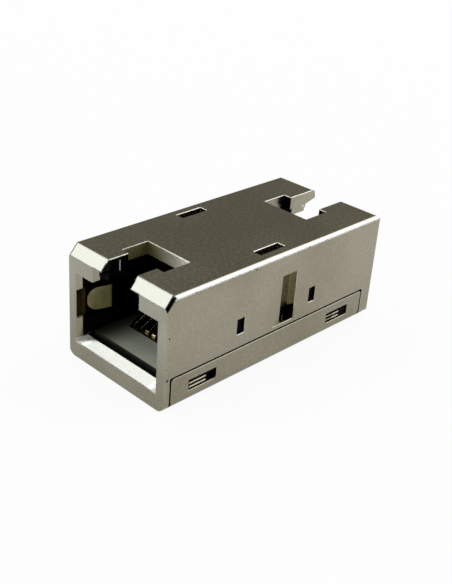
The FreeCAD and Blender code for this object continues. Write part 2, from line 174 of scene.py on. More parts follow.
def maths(tree, operation, first, second=0.0, clamp=False):
    inputs = {0: first, 1: second}
    node = add_node(tree, "ShaderNodeMath", inputs, operation=operation, use_clamp=clamp)
    return node.outputs["Value"]


def product(tree, first, second):
    return maths(tree, "MULTIPLY", first, second)


def total(tree, first, second):
    return maths(tree, "ADD", first, second)


def larger(tree, first, second):
    return maths(tree, "MAXIMUM", first, second)


def rest_of(tree, share):
    """What the share leaves of 1."""
    return maths(tree, "SUBTRACT", 1.0, share)


def spread(tree, value, low, high, out_low=0.0, out_high=1.0):
    """Maps low..high smoothly onto out_low..out_high and holds it there outside."""
    node = add_node(
        tree,
        "ShaderNodeMapRange",
        {"Value": value, "From Min": low, "From Max": high, "To Min": out_low, "To Max": out_high},
        interpolation_type="SMOOTHSTEP",
    )
    return node.outputs["Result"]


def noise(tree, place, size, detail=2.0, roughness=0.5, distortion=0.0):
    """Noise whose blotches are about size metres across."""
    shape = {"Detail": detail, "Roughness": roughness, "Distortion": distortion}
    node = add_node(tree, "ShaderNodeTexNoise", {"Vector": place, "Scale": 1 / size, **shape})
    return node.outputs["Fac"]


def mix_colour(tree, share, first, second, blend="MIX"):
    """Mixes two colours. The node has sockets for other data too; its colours are 6, 7 and 2."""
    node = add_node(tree, "ShaderNodeMix", data_type="RGBA", blend_type=blend)
    sockets = (node.inputs["Factor"], node.inputs[6], node.inputs[7])
    for socket, value in zip(sockets, (share, first, second)):
        if isinstance(value, bpy.types.NodeSocket):
            tree.links.new(value, socket)
        else:
            socket.default_value = value
    return node.outputs[2]


def tinted(tree, first, second):
    """Two colours multiplied."""
    return mix_colour(tree, 1.0, first, second, "MULTIPLY")


print("noise is read between", BLOTCHES)

# %% [markdown]
# ## The studio
# Metal shows its surroundings more than itself, so the studio is part of the finish. The
# photograph has a pure white ground, a dark wall behind and bright panels above: the top
# face mirrors the wall, and the sloping edges mirror the panels. A white floor and a
# plain grey surrounding with soft lamps repeat that, and look right from other sides.

# %% Floor
FLOOR_SIZE = 4.0
FLOOR_SQUARES = 8
FLOOR_DROP = 0.02 * MM
floor_mesh = bpy.data.meshes.new("studio_floor")
floor_shape = bmesh.new()
bmesh.ops.create_grid(
    floor_shape, x_segments=FLOOR_SQUARES, y_segments=FLOOR_SQUARES, size=FLOOR_SIZE / 2
)
bmesh.ops.translate(floor_shape, verts=floor_shape.verts, vec=(0, 0, -FLOOR_DROP))
floor_shape.to_mesh(floor_mesh)
floor_shape.free()
floor = bpy.data.objects.new("studio_floor", floor_mesh)
bpy.context.scene.collection.objects.link(floor)
print("floor is", FLOOR_SIZE, "m across")

# %% [markdown]
# ## White ground
# The photograph's ground is pure white, yet the coupler still throws a soft shadow on it.
# More light would make the ground white, but it would burn out the metal too. Instead the
# floor is pale paper, and where the camera or the metal looks at it, a glow takes part of
# the paper's place. The share of paper that is left keeps the shadow.

# %% Floor material
PAPER_GRAIN = 40 * MM
PAPER_DARK = (0.88, 0.88, 0.87, 1)
PAPER_LIGHT = (0.90, 0.90, 0.90, 1)
WHITE_SHARE = 0.93
MIRRORED_WHITE_SHARE = 0.48

floor_material = bpy.data.materials.new("white_floor")
floor_material.use_nodes = True
tree = floor_material.node_tree
tree.nodes.clear()
grain = noise(tree, add_node(tree, "ShaderNodeTexCoord").outputs["Object"], PAPER_GRAIN)
paper = mix_colour(tree, grain, PAPER_DARK, PAPER_LIGHT)
lit = add_node(tree, "ShaderNodeBsdfDiffuse", {"Color": paper})
glow = add_node(tree, "ShaderNodeEmission", {"Color": (1, 1, 1, 1), "Strength": 1.0})
light_path = add_node(tree, "ShaderNodeLightPath")
seen = larger(tree, light_path.outputs["Is Camera Ray"], light_path.outputs["Is Transmission Ray"])
mirrored = product(tree, light_path.outputs["Is Glossy Ray"], MIRRORED_WHITE_SHARE)
share = larger(tree, product(tree, seen, WHITE_SHARE), mirrored)
floor_mix = add_node(tree, "ShaderNodeMixShader", {0: share, 1: lit.outputs[0], 2: glow.outputs[0]})
add_node(tree, "ShaderNodeOutputMaterial", {"Surface": floor_mix.outputs[0]})
floor_mesh.materials.append(floor_material)
print("white share of the floor:", WHITE_SHARE, "and in mirrors:", MIRRORED_WHITE_SHARE)

# %% [markdown]
# ## Wall and ceiling
# The coupler's top face looks dull and warm in the photograph, because it mirrors a dim
# wall behind it, while a face that leans towards the camera mirrors the brighter ceiling.
# A room could be built for that. A world that grows lighter and less warm with height
# does the same with no walls.

# %% World
WORLD_WALL = 0.205
WORLD_CEILING = 0.60
CEILING_HEIGHTS = (0.55, 0.95)
TINT_HEIGHTS = (0.45, 0.75)
WALL_TINT = (1.0, 0.955, 0.85, 1)
CEILING_TINT = (1.0, 0.99, 0.965, 1)

world = bpy.data.worlds.new("studio")
bpy.context.scene.world = world
world.use_nodes = True
tree = world.node_tree
tree.nodes.clear()
sky = add_node(tree, "ShaderNodeTexCoord").outputs["Generated"]
height = add_node(tree, "ShaderNodeSeparateXYZ", {0: sky}).outputs["Z"]
level = spread(tree, height, *CEILING_HEIGHTS, WORLD_WALL, WORLD_CEILING)
wall_tint = mix_colour(tree, spread(tree, height, *TINT_HEIGHTS), WALL_TINT, CEILING_TINT)
background = add_node(tree, "ShaderNodeBackground", {"Color": wall_tint, "Strength": level})
add_node(tree, "ShaderNodeOutputWorld", {"Surface": background.outputs[0]})
print("world strength from", WORLD_WALL, "to", WORLD_CEILING)

# %% [markdown]
# ## Soft lamps
# Most bright faces and lines of the photograph are mirror images of soft panels. A
# panel's place follows from the camera's line of sight, mirrored at the face: the front
# slope shows a panel on the front left, and the long rounded edge one at the back right.
# The power of a lamp says little by itself, so each panel is given how bright it looks.

# %% Lamps
LAMP_COLOUR = (0.95, 1.0, 1.05)


def softbox(name, azimuth, elevation, distance, width, height, brightness):
    """A rectangular soft lamp that faces the coupler. Brightness 1 looks white in a mirror."""
    lamp_data = bpy.data.lights.new(name, "AREA")
    lamp_data.shape = "RECTANGLE"
    lamp_data.size = width
    lamp_data.size_y = height
    lamp_data.energy = brightness * math.pi * width * height
    lamp_data.color = LAMP_COLOUR
    lamp = bpy.data.objects.new(name, lamp_data)
    towards = direction(math.radians(azimuth), math.radians(elevation))
    facing = towards.to_track_quat("Z", "Y").to_matrix().to_4x4()
    lamp.matrix_world = Matrix.Translation(towards * distance) @ facing
    bpy.context.scene.collection.objects.link(lamp)
    print(name, "power", round(lamp_data.energy, 2), "W")


# name, azimuth, elevation, distance, width, height, brightness
softbox("front_left_panel", -51, 31, 1.2, 0.85, 0.55, 3.1)
softbox("back_left_panel", -112, 58, 1.2, 0.75, 0.45, 2.0)
softbox("back_right_panel", 165, 42, 1.2, 1.3, 0.55, 2.5)
softbox("back_right_low_panel", 133, 13, 1.2, 0.5, 0.55, 2.3)
softbox("front_right_panel", 60, 60, 1.4, 0.8, 0.45, 1.2)

# %% [markdown]
# ## Where finishes and painted light go
# The casting is one piece, but its faces don't look alike: the halls of the ports get a
# painted shade, nearly black, the slope at the front a neutral painted highlight tint, and
# the catch is scratched. A mask could be painted as a picture. Here a box in the coupler's
# own millimetres says where a finish, a painted light or a painted shade goes, so it holds
# from every side. The two sides are alike, so a box counts from the middle plane outwards:
# it is (distance across, place along, height), each low and high.

# %% Boxes as masks
SOFT_RIM = 0.05
THIN_RIM = 0.02


def within(tree, value, low, high, soft):
    """1 where the value lies from low to high, fading to 0 over soft outside."""
    rise = spread(tree, value, (low - soft) * MM, low * MM)
    fall = spread(tree, value, high * MM, (high + soft) * MM, 1, 0)
    return product(tree, rise, fall)


def zone(tree, where, across, along, height, soft):
    """1 inside a box that lies on both sides of the middle plane."""
    side = maths(tree, "ABSOLUTE", where.outputs["X"])
    share = within(tree, side, *across, soft)
    share = product(tree, share, within(tree, where.outputs["Y"], *along, soft))
    return product(tree, share, within(tree, where.outputs["Z"], *height, soft))


def zones(tree, where, boxes, soft=SOFT_RIM):
    """1 inside any of the boxes."""
    share = 0.0
    for box in boxes:
        share = larger(tree, zone(tree, where, *box, soft), share)
    return share


print("a zone fades out over", SOFT_RIM, "mm")

# %% [markdown]
# ## Dark places
# Little light gets into the ports, behind the windows and into the seam round the cover,
# so they lie in deep shade and look black. A renderer still finds some light that bounces
# in and makes such walls glitter. These boxes paint that shade into the plating's colour,
# nearly black.

# %% Boxes of the dark places
PORT_HALLS = [
    ((-1, 6.25), (-14.40, -3.0), (2.05, 9.5)),
    ((-1, 6.25), (3.0, 13.42), (2.05, 9.5)),
    ((-1, 5.90), (-3.2, 3.2), (0.0, 10.7)),
    ((-1, 6.25), (-14.40, -3.0), (9.4, 10.6)),
    ((-1, 6.25), (3.0, 10.8), (9.4, 10.6)),
]
SPRING_WINDOWS = [
    ((-1, 6.97), (-7.2, -4.5), (4.7, 7.2)),
    ((-1, 6.97), (3.6, 6.2), (4.7, 7.2)),
]
CATCH_HOLES = [((-1, 6.95), (1.02, 2.10), (4.16, 4.90))]
COVER_GAPS = [
    ((-1, 6.87), (-13.2, 12.2), (-1, 3.5)),
    ((-1, 7.0), (10.06, 12.2), (-1, 3.5)),
    ((6.45, 6.60), (-14.8, 13.8), (-1, 3.7)),
    ((-1, 7.04), (13.66, 13.80), (-1, 3.7)),
]
SLOT_WALLS = [
    ((1.9, 2.3), (-14.3, -12.0), (10.3, 11.85)),
    ((1.9, 2.3), (-15.2, -14.2), (9.5, 10.90)),
    ((2.0, 3.36), (-14.50, -14.40), (9.8, 10.50)),
    ((2.06, 2.96), (10.93, 11.2), (9.8, 11.93)),
]
# Painted shade: in these boxes the plating of the body and of the cover is painted nearly black.
BODY_PAINTED_SHADE = PORT_HALLS + SPRING_WINDOWS + CATCH_HOLES + COVER_GAPS + SLOT_WALLS
COVER_PAINTED_SHADE = [
    ((-1, 7.05), (-14.7, 13.7), (3.34, 3.60)),
    ((-1, 7.05), (-14.7, -14.44), (-1, 3.5)),
    ((-1, 7.05), (13.48, 13.7), (-1, 3.5)),
    ((-1, 7.03), (-12.36, -8.60), (1.30, 2.58)),
    ((-1, 7.03), (7.64, 11.40), (1.30, 2.58)),
]
print("dark boxes of body and cover:", len(BODY_PAINTED_SHADE), len(COVER_PAINTED_SHADE))

# %% [markdown]
# ## Faces and edges with a look of their own
# The rest of the boxes pick out single faces: the slope and the sill, which get painted
# light, the jambs of the mouth, the walls of the pocket behind the slot, which get painted
# light and shade, the panel catch, and the notches that the spring tongues stand in, whose
# floors get a painted shade. Others pick out edges: the long upper ones are worn, chipped
# and given a painted highlight, while the edges inside the catch stay sharp and plain.

# %% Boxes of faces and edges
CHAMFERS = [((-1, 6.9), (-15.33, -14.45), (10.94, 12.0))]
# Painted shade, nearly black, on the ends of the slope, where the rounded corner looks dark.
CHAMFER_ENDS = [((6.80, 7.02), (-15.3, -14.3), (10.65, 11.82))]
# End faces that get painted light, paler towards the top.
END_FACES = [
    ((-1, 7.2), (-15.4, -15.30), (-1, 11.0)),
    ((-1, 7.2), (15.30, 15.4), (-1, 11.4)),
]
# Sills that get a painted highlight.
SILLS = [
    ((-1, 5.93), (-15.33, -13.88), (1.70, 2.05)),
    ((-1, 5.93), (12.92, 15.33), (1.70, 2.05)),
]
PORT_JAMBS = [
    ((5.90, 6.0), (-15.32, -14.47), (1.9, 9.4)),
    ((3.30, 3.40), (-15.32, -14.47), (9.3, 10.9)),
    ((5.90, 6.0), (13.52, 15.32), (1.9, 9.4)),
]
# Notch floors behind the spring tongues, which get a brown painted shade.
NOTCH_FLOORS = [
    ((-1, 6.5), (-15.1, -14.0), (4.3, 7.3)),
    ((-1, 6.5), (13.0, 15.1), (4.3, 7.3)),
]
# Pocket walls that get painted light and shade.
POCKET_BACKS = [((-1, 3.0), (-8.96, -8.80), (10.6, 11.97))]
POCKET_SIDES = [((2.90, 3.05), (-12.1, -8.9), (10.6, 11.97))]
SLOT_GLINTS = [((1.9, 2.4), (-13.13, -13.08), (10.5, 11.6))]
CATCHES = [((-1, 7.03), (-1.0, 2.10), (4.04, 9.40))]
CATCH_STARTS = [((-1, 7.2), (-1.07, 0.35), (4.10, 9.45))]
CATCH_RAMPS = [((-1, 7.2), (0.45, 2.10), (4.10, 9.45))]
# A painted highlight line along the long upper edges.
EDGE_HIGHLIGHT_LINES = [((6.85, 7.2), (-14.5, 15.4), (11.60, 11.92))]
CRISP_EDGES = [((6.6, 7.2), (-15.4, 15.4), (11.2, 12.1))]
PLAIN_EDGES = [
    ((2.90, 3.10), (-9.10, -8.80), (9.0, 11.80)),
    ((3.2, 3.5), (-15.4, -14.4), (9.3, 10.90)),
    ((5.85, 6.1), (-15.4, -14.4), (2.2, 9.5)),
]
CHIPPED = [
    ((6.98, 7.2), (-15.4, 15.4), (11.36, 11.66)),
    ((7.02, 7.2), (-15.4, -14.95), (2.0, 10.6)),
]
print("boxes of sills, jambs and chips:", len(SILLS), len(PORT_JAMBS), len(CHIPPED))

# %% [markdown]
# ## Soft edges and leaning faces
# No cast edge is sharp: it is rounded by a tenth of a millimetre or two, and catches the
# light. Bevels on the CAD mesh would change it, so the Bevel node turns only the shading
# normal. Where that normal leaves the flat one there is an edge, and wear and a painted
# highlight can follow it.
# A face that should catch light from further round is made to lean in the same way.

# %% Helpers for edges, bumps and leaning faces
def soft_edges(tree, radius, samples):
    """The normal, turned round the edges, and how well it agrees with the flat one."""
    rounded = add_node(tree, "ShaderNodeBevel", {"Radius": radius}, samples=samples).outputs[0]
    flat = add_node(tree, "ShaderNodeNewGeometry").outputs["Normal"]
    both = {0: rounded, 1: flat}
    agreement = add_node(tree, "ShaderNodeVectorMath", both, operation="DOT_PRODUCT")
    return rounded, agreement.outputs["Value"]


def vector_maths(tree, operation, inputs):
    return add_node(tree, "ShaderNodeVectorMath", inputs, operation=operation).outputs[0]


def bumped(tree, height, depth, normal=None):
    """The normal with a relief of the given depth, on top of a normal where one is given."""
    inputs = {"Strength": 1.0, "Distance": depth, "Height": height}
    if normal is not None:
        inputs["Normal"] = normal
    return add_node(tree, "ShaderNodeBump", inputs).outputs[0]


def leaning(tree, normal, lean, rise=0.0):
    """The normal, pushed by lean along the coupler and by rise upwards."""
    push = add_node(tree, "ShaderNodeCombineXYZ", {"Y": lean, "Z": rise}).outputs[0]
    return vector_maths(tree, "NORMALIZE", {0: vector_maths(tree, "ADD", {0: normal, 1: push})})


def join(tree, shader, colour, rough, normal):
    """Joins the three inputs that every finish sets to its shader."""
    for name, socket in (("Base Color", colour), ("Roughness", rough), ("Normal", normal)):
        tree.links.new(socket, shader.inputs[name])


print("leaning a face by 1 turns it", round(math.degrees(math.atan(1))), "degrees")

# %% [markdown]
# ## Satin nickel: the ground colour
# The casting was blasted with fine grit and then plated, so it is a soft, warm grey
# metal with a fine grain. A plain metal shader would look like new chrome. Here noise at
# three sizes breaks it up: clouds as wide as a finger tip, mottle of a third of a
# millimetre, and grit that is hardly seen but takes the gloss off.

# %% Grain and tint of the plating
CLOUD_SIZE = 9 * MM
MOTTLE_SIZE = 0.30 * MM
GRIT_SIZE = 0.10 * MM
CLOUD_BLOTCHES = (0.35, 0.65)
CLOUD_LIGHT = (1.06, 1.06, 1.06)
CLOUD_DARK = (0.93, 0.92, 0.89)
SPECK_DARK = (0.93, 0.92, 0.90, 1)
SPECK_LIGHT = (1.06, 1.06, 1.05, 1)


def plating_grain(tree, place):
    mottle = noise(tree, place, MOTTLE_SIZE, 4, 0.65)
    grit = noise(tree, place, GRIT_SIZE, 2, 0.6)
    speck = mix_colour(tree, spread(tree, mottle, *BLOTCHES), SPECK_DARK, SPECK_LIGHT)
    return mottle, grit, speck


def plating_colour(tree, place, tint, speck):
    cloud = noise(tree, place, CLOUD_SIZE, 3, 0.55)
    clouded = spread(tree, cloud, *CLOUD_BLOTCHES)
    colour = mix_colour(tree, clouded, scaled(tint, *CLOUD_DARK), scaled(tint, *CLOUD_LIGHT))
    return tinted(tree, colour, speck)


print("grain sizes in mm:", [round(size / MM, 2) for size in (CLOUD_SIZE, MOTTLE_SIZE, GRIT_SIZE)])

# %% [markdown]
# ## Satin nickel: worn edges and painted highlights
# Handling has polished the edges, and on top of that wear they get a painted highlight for
# the light that their rounding catches, most of all the two long upper ones, whose line is
# ragged below and clean above. A line could be modelled as a thin bevel. As a mask it can
# be broken up by the same mottle that colours the faces.

# %% Worn edges with painted highlights, and chips
EDGE_ROUNDING = 0.18 * MM
CRISP_ROUNDING = 0.04 * MM
EDGE_SAMPLES = 8
EDGE_AGREEMENT = (0.80, 0.995)
EDGE_GRIT = (0.25, 0.55)
UPPER_EDGES = (10.6 * MM, 11.2 * MM)
# The upper edges get more wear and painted highlight.
UPPER_WEAR_AND_SHEEN = 2.2
RAGGED_BLOTCHES = (0.38, 0.5)
RAGGED_UP_TO = (11.66 * MM, 11.72 * MM)
# Worn edges and their painted highlight share this pale colour.
WEAR_AND_HIGHLIGHT_COLOUR = (0.76, 0.75, 0.70, 1)
CHIP_SIZE = 0.55 * MM
CHIP_BLOTCHES = (0.685, 0.72)
CHIP_COLOUR = (0.03, 0.025, 0.02, 1)


def plating_edges(tree, where, grit):
    crisp = zones(tree, where, CRISP_EDGES + CATCHES)
    radius = spread(tree, crisp, 0, 1, EDGE_ROUNDING, CRISP_ROUNDING)
    rounded, agreement = soft_edges(tree, radius, EDGE_SAMPLES)
    edge = spread(tree, agreement, *EDGE_AGREEMENT, 1, 0)
    edge = product(tree, edge, spread(tree, grit, *EDGE_GRIT))
    edge = product(tree, edge, rest_of(tree, zones(tree, where, CATCHES + PLAIN_EDGES)))
    return rounded, edge


def wear_and_highlight_share(tree, where, mottle, edge, wear_and_sheen):
    height = where.outputs["Z"]
    wear_and_sheen = spread(tree, height, *UPPER_EDGES, wear_and_sheen, UPPER_WEAR_AND_SHEEN * wear_and_sheen)
    ragged = spread(tree, mottle, *RAGGED_BLOTCHES)
    ragged = larger(tree, ragged, spread(tree, height, *RAGGED_UP_TO))
    # Along the long upper edges, a ragged band of painted highlight.
    line = product(tree, zones(tree, where, EDGE_HIGHLIGHT_LINES), ragged)
    return larger(tree, product(tree, edge, wear_and_sheen), line)


def with_chips(tree, place, where, colour):
    chip = spread(tree, noise(tree, place, CHIP_SIZE, 1, 0.5), *CHIP_BLOTCHES)
    chip = product(tree, zones(tree, where, CHIPPED), chip)
    return mix_colour(tree, chip, colour, CHIP_COLOUR)


print("edges are rounded by", round(EDGE_ROUNDING / MM, 2), "mm")

# %% [markdown]
# ## Satin nickel: the front and the mouth
# The slope over the mouth and the sill under it look the palest of all faces, and the end
# faces grow paler upwards. More light there would pale their neighbours too, so these
# faces get painted light in their colours instead. The sill is partly a plain white
# non-metal, whose painted light also shows at its ends, where nothing bright is there to be
# mirrored.

# %% Slope, sill and end faces
# Painted highlight: the slope gets a more neutral tint, so that its highlight looks white, and the
# sill a paler one, white at its ends.
CHAMFER_HIGHLIGHT_TINT = (0.318, 0.312, 0.270, 1)
CHAMFER_END_SHADE_COLOUR = (0.012, 0.006, 0.006, 1)
SILL_LIT_COLOUR = (0.380, 0.374, 0.335, 1)
SILL_END_LIT_COLOUR = (1.0, 0.99, 0.92, 1)
SILL_ENDS = (4.4 * MM, 5.8 * MM)
END_HEIGHTS = (1.5 * MM, 9 * MM)
# Painted light on the end faces, from the low tint to the high one.
END_LOW_LIGHT = (0.92, 0.95, 0.96, 1)
END_HIGH_LIGHT = (1.10, 1.17, 1.27, 1)
# Painted shade over the lowest millimetre, near the floor.
LOW_HEIGHTS = (0.2 * MM, 1.1 * MM)


def mouth_painted_light(tree, where, masks, colour, speck):
    chamfer = tinted(tree, speck, CHAMFER_HIGHLIGHT_TINT)
    colour = mix_colour(tree, zones(tree, where, CHAMFERS), colour, chamfer)
    sill = tinted(tree, speck, SILL_LIT_COLOUR)
    sill = mix_colour(tree, masks["sill_end"], sill, SILL_END_LIT_COLOUR)
    return mix_colour(tree, masks["sill"], colour, sill)


def end_light_and_low_shade(tree, where, colour, painted_low_shade):
    """Paints light into the end faces, paler towards the top, and paints shade into the lowest
    millimetre.
    """
    height = where.outputs["Z"]
    lift = mix_colour(tree, spread(tree, height, *END_HEIGHTS), END_LOW_LIGHT, END_HIGH_LIGHT)
    lifted = vector_maths(tree, "MULTIPLY", {0: colour, 1: lift})
    colour = mix_colour(tree, zones(tree, where, END_FACES), colour, lifted)
    low = spread(tree, height, *LOW_HEIGHTS, painted_low_shade, 1.0)
    return vector_maths(tree, "SCALE", {0: colour, "Scale": low})


print("sill ends from", round(SILL_ENDS[0] / MM, 1), "mm off the middle")

# %% [markdown]
# ## Satin nickel: the catch and the pocket
# The panel catch is a ramp that a holder scrapes along, so it is streaked upright, and it
# gets a painted shade at its foot. The pocket behind the slot gets painted light and shade:
# a dark olive shade in its left corner, pale light at its right. Both get their own colours,
# and the catch its streaks from noise that is stretched along the height.

# %% Catch and pocket
STREAK_SIZE = 0.13 * MM
STREAK_STRETCH = (1, 1, 0.08)
STREAK_DARK = (0.78, 0.78, 0.76, 1)
STREAK_LIGHT = (1.18, 1.18, 1.14, 1)
# Painted shade at the foot of the catch.
FOOT_SHADE_HEIGHTS = (4.85 * MM, 5.65 * MM)
FOOT_SHADE_SHARE = 0.9
FOOT_SHADE_COLOUR = (0.17, 0.13, 0.07, 1)
POCKET_ACROSS = (-3 * MM, 3 * MM)
# Painted light and shade on the pocket walls: shade at the left, light at the right.
POCKET_LEFT_SHADE = (0.135, 0.118, 0.042, 1)
POCKET_RIGHT_LIGHT = (0.53, 0.52, 0.45, 1)
POCKET_SIDE_SHADE = (0.12, 0.105, 0.040, 1)


def stretched_place(tree, place, stretch):
    """The place, scaled, so that noise grows longer along each axis that is scaled down."""
    return add_node(tree, "ShaderNodeMapping", {"Vector": place, "Scale": stretch}).outputs[0]


def catch_colour(tree, place, where, ramp, colour):
    stretched = stretched_place(tree, place, STREAK_STRETCH)
    streak = spread(tree, noise(tree, stretched, STREAK_SIZE, 3, 0.6), *BLOTCHES)
    scratched = tinted(tree, colour, mix_colour(tree, streak, STREAK_DARK, STREAK_LIGHT))
    colour = mix_colour(tree, ramp, colour, scratched)
    foot_shade = spread(tree, where.outputs["Z"], *FOOT_SHADE_HEIGHTS, FOOT_SHADE_SHARE, 0)
    return mix_colour(tree, product(tree, ramp, foot_shade), colour, FOOT_SHADE_COLOUR)


def pocket_light_and_shade(tree, where, masks, colour):
    across = spread(tree, where.outputs["X"], *POCKET_ACROSS)
    back_light_and_shade = mix_colour(tree, across, POCKET_LEFT_SHADE, POCKET_RIGHT_LIGHT)
    colour = mix_colour(tree, masks["pocket"], colour, back_light_and_shade)
    return mix_colour(tree, masks["pocket_side"], colour, POCKET_SIDE_SHADE)


print("streaks are", round(1 / STREAK_STRETCH[2], 1), "times as long as wide")

# %% [markdown]
# ## Satin nickel: the shadows
# The dark boxes paint shade into the plating, nearly black, a little redder low down, in
# the seam of the cover, which looks brown. The ends of the slope get a painted shade too,
# the floors of the notches behind the spring tongues a brown painted shade, and one thin
# painted highlight is put in the slot.

# %% Shadow colours
SEAM_HEIGHTS = (3.7 * MM, 3.8 * MM)
SEAM_COLOUR = (0.024, 0.010, 0.009, 1)
SHADOW_COLOUR = (0.0035, 0.0032, 0.0026, 1)
# Brown painted shade for the notch floors.
NOTCH_SHADE_COLOUR = (0.13, 0.095, 0.030, 1)


def shadow_colour(tree, where, masks, colour):
    above_seam = spread(tree, where.outputs["Z"], *SEAM_HEIGHTS)
    shadow = mix_colour(tree, above_seam, SEAM_COLOUR, SHADOW_COLOUR)
    colour = mix_colour(tree, zones(tree, where, CHAMFER_ENDS), colour, CHAMFER_END_SHADE_COLOUR)
    colour = mix_colour(tree, masks["dark"], colour, shadow)
    colour = mix_colour(tree, zones(tree, where, NOTCH_FLOORS), colour, NOTCH_SHADE_COLOUR)
    return mix_colour(tree, masks["glint"], colour, WEAR_AND_HIGHLIGHT_COLOUR)


print("seam colour below", round(SEAM_HEIGHTS[0] / MM, 1), "mm")

# %% [markdown]
# ## Satin nickel: gloss, relief and lean
# Worn edges, the catch and the pocket are smoother than the blasted faces, and the dark
# places rougher, so that they mirror nothing. The jambs, the sill, the start of the catch
# and the pocket catch light in the photograph that their flat faces here would miss. They
# could be turned in the model, but its shapes stay as they are, so they lean in the
# shading alone.

# %% Gloss and lean of the plating
SATIN = 0.25
SATIN_SMOOTHER = 0.04
SATIN_ROUGHER = 0.05
RUBBED_SMOOTHER = 0.14
DARK_ROUGHER = 0.35
EDGE_SMOOTHER = 0.05
RELIEF_DEPTH = 0.005 * MM
RELIEF_GRIT = 0.7
RELIEF_MOTTLE = 0.6
# Shares of non-metal, so that the painted light of the sill and of the pocket shows as plain
# colour.
SILL_NONMETAL_MIDDLE = 0.15
SILL_NONMETAL_END = 1.0
POCKET_NONMETAL = 0.8
JAMB_TILT = 0.62
SILL_TILT = 1.05
CATCH_TILT = -0.26
POCKET_SIDE_TILT = 0.26
POCKET_BACK_TILTS = (0.42, 0.56)


def plating_gloss(tree, masks, mottle, edge):
    rough = spread(tree, mottle, *BLOTCHES, SATIN - SATIN_SMOOTHER, SATIN + SATIN_ROUGHER)
    rubbed = product(tree, larger(tree, masks["ramp"], masks["pocket"]), RUBBED_SMOOTHER)
    rough = maths(tree, "SUBTRACT", rough, rubbed)
    rough = total(tree, rough, product(tree, masks["dark"], DARK_ROUGHER))
    return maths(tree, "SUBTRACT", rough, product(tree, edge, EDGE_SMOOTHER), clamp=True)


def plating_metallic(tree, masks):
    """1 for metal, less on the sill and in the pocket, whose painted light and shade is partly a
    non-metal colour.
    """
    sill_nonmetal = spread(tree, masks["sill_end"], 0, 1, SILL_NONMETAL_MIDDLE, SILL_NONMETAL_END)
    pocket_nonmetal = product(tree, larger(tree, masks["pocket"], masks["pocket_side"]), POCKET_NONMETAL)
    return rest_of(tree, larger(tree, product(tree, masks["sill"], sill_nonmetal), pocket_nonmetal))


def plating_normal(tree, where, masks, normal):
    jamb = product(tree, zones(tree, where, PORT_JAMBS), JAMB_TILT)
    sill = product(tree, masks["sill"], SILL_TILT)
    lean = product(tree, total(tree, jamb, sill), maths(tree, "SIGN", where.outputs["Y"]))
    lean = total(tree, lean, product(tree, zones(tree, where, CATCH_STARTS), CATCH_TILT))
    rise = spread(tree, where.outputs["X"], *POCKET_ACROSS, *POCKET_BACK_TILTS)
    rise = product(tree, larger(tree, masks["pocket"], masks["glint"]), rise)
    rise = total(tree, rise, product(tree, masks["pocket_side"], POCKET_SIDE_TILT))
    return leaning(tree, normal, lean, rise)


print("roughness of the plating:", SATIN)

# %% [markdown]
# ## Satin nickel: the two metals
# The body is cast and the cover is formed from sheet, but both were plated in one bath.
# So one recipe makes both. The cover gets a painted shade: a little darker all over, and
# darker still towards the floor. Its edges are hardly worn, because it lies flush and is
# seldom touched, and get little painted highlight.

# %% Plated metal
# How dark the painted shade of the lowest millimetre goes; 1 is none.
BODY_PAINTED_LOW_SHADE = 1.0
COVER_PAINTED_LOW_SHADE = 0.5
# Edge wear with painted highlight: a strong share on the body, a weak one on the cover.
BODY_WEAR_AND_SHEEN = 0.38
COVER_WEAR_AND_SHEEN = 0.12


def plated_metal(name, tint, painted_shade_boxes, painted_low_shade, wear_and_sheen):
    material, tree, shader = start_material(name)
    place = add_node(tree, "ShaderNodeTexCoord").outputs["Object"]
    where = add_node(tree, "ShaderNodeSeparateXYZ", {0: place})
    mottle, grit, speck = plating_grain(tree, place)
    rounded, edge = plating_edges(tree, where, grit)
    wear_and_highlight = wear_and_highlight_share(tree, where, mottle, edge, wear_and_sheen)
    unhighlighted = rest_of(tree, wear_and_highlight)
    masks = {
        "sill": zones(tree, where, SILLS),
        "sill_end": spread(tree, maths(tree, "ABSOLUTE", where.outputs["X"]), *SILL_ENDS),
        "ramp": zones(tree, where, CATCH_RAMPS),
        "pocket": product(tree, zones(tree, where, POCKET_BACKS), unhighlighted),
        "pocket_side": product(tree, zones(tree, where, POCKET_SIDES), unhighlighted),
        "dark": zones(tree, where, painted_shade_boxes),
        "glint": zones(tree, where, SLOT_GLINTS, THIN_RIM),
    }

    colour = plating_colour(tree, place, tint, speck)
    # Edge wear with a painted highlight over it.
    colour = mix_colour(tree, wear_and_highlight, colour, WEAR_AND_HIGHLIGHT_COLOUR)
    colour = mouth_painted_light(tree, where, masks, colour, speck)
    colour = end_light_and_low_shade(tree, where, colour, painted_low_shade)
    colour = catch_colour(tree, place, where, masks["ramp"], colour)
    colour = pocket_light_and_shade(tree, where, masks, colour)
    colour = with_chips(tree, place, where, colour)
    colour = shadow_colour(tree, where, masks, colour)

    relief = total(tree, product(tree, grit, RELIEF_GRIT), product(tree, mottle, RELIEF_MOTTLE))
    normal = plating_normal(tree, where, masks, bumped(tree, relief, RELIEF_DEPTH, rounded))
    join(tree, shader, colour, plating_gloss(tree, masks, mottle, edge), normal)
    tree.links.new(plating_metallic(tree, masks), shader.inputs["Metallic"])
    return material


body_tint = screen_colour(157, 151, 134)
# The cover's tint is a little darker, as painted shade.
cover_shaded_tint = screen_colour(150, 144, 126)
body_metal = plated_metal(
    "satin_nickel_casting", body_tint, BODY_PAINTED_SHADE, BODY_PAINTED_LOW_SHADE, BODY_WEAR_AND_SHEEN
)
cover_metal = plated_metal(
    "satin_nickel_sheet", cover_shaded_tint, COVER_PAINTED_SHADE, COVER_PAINTED_LOW_SHADE, COVER_WEAR_AND_SHEEN
)
print("nodes in the metals:", len(body_metal.node_tree.nodes), len(cover_metal.node_tree.nodes))

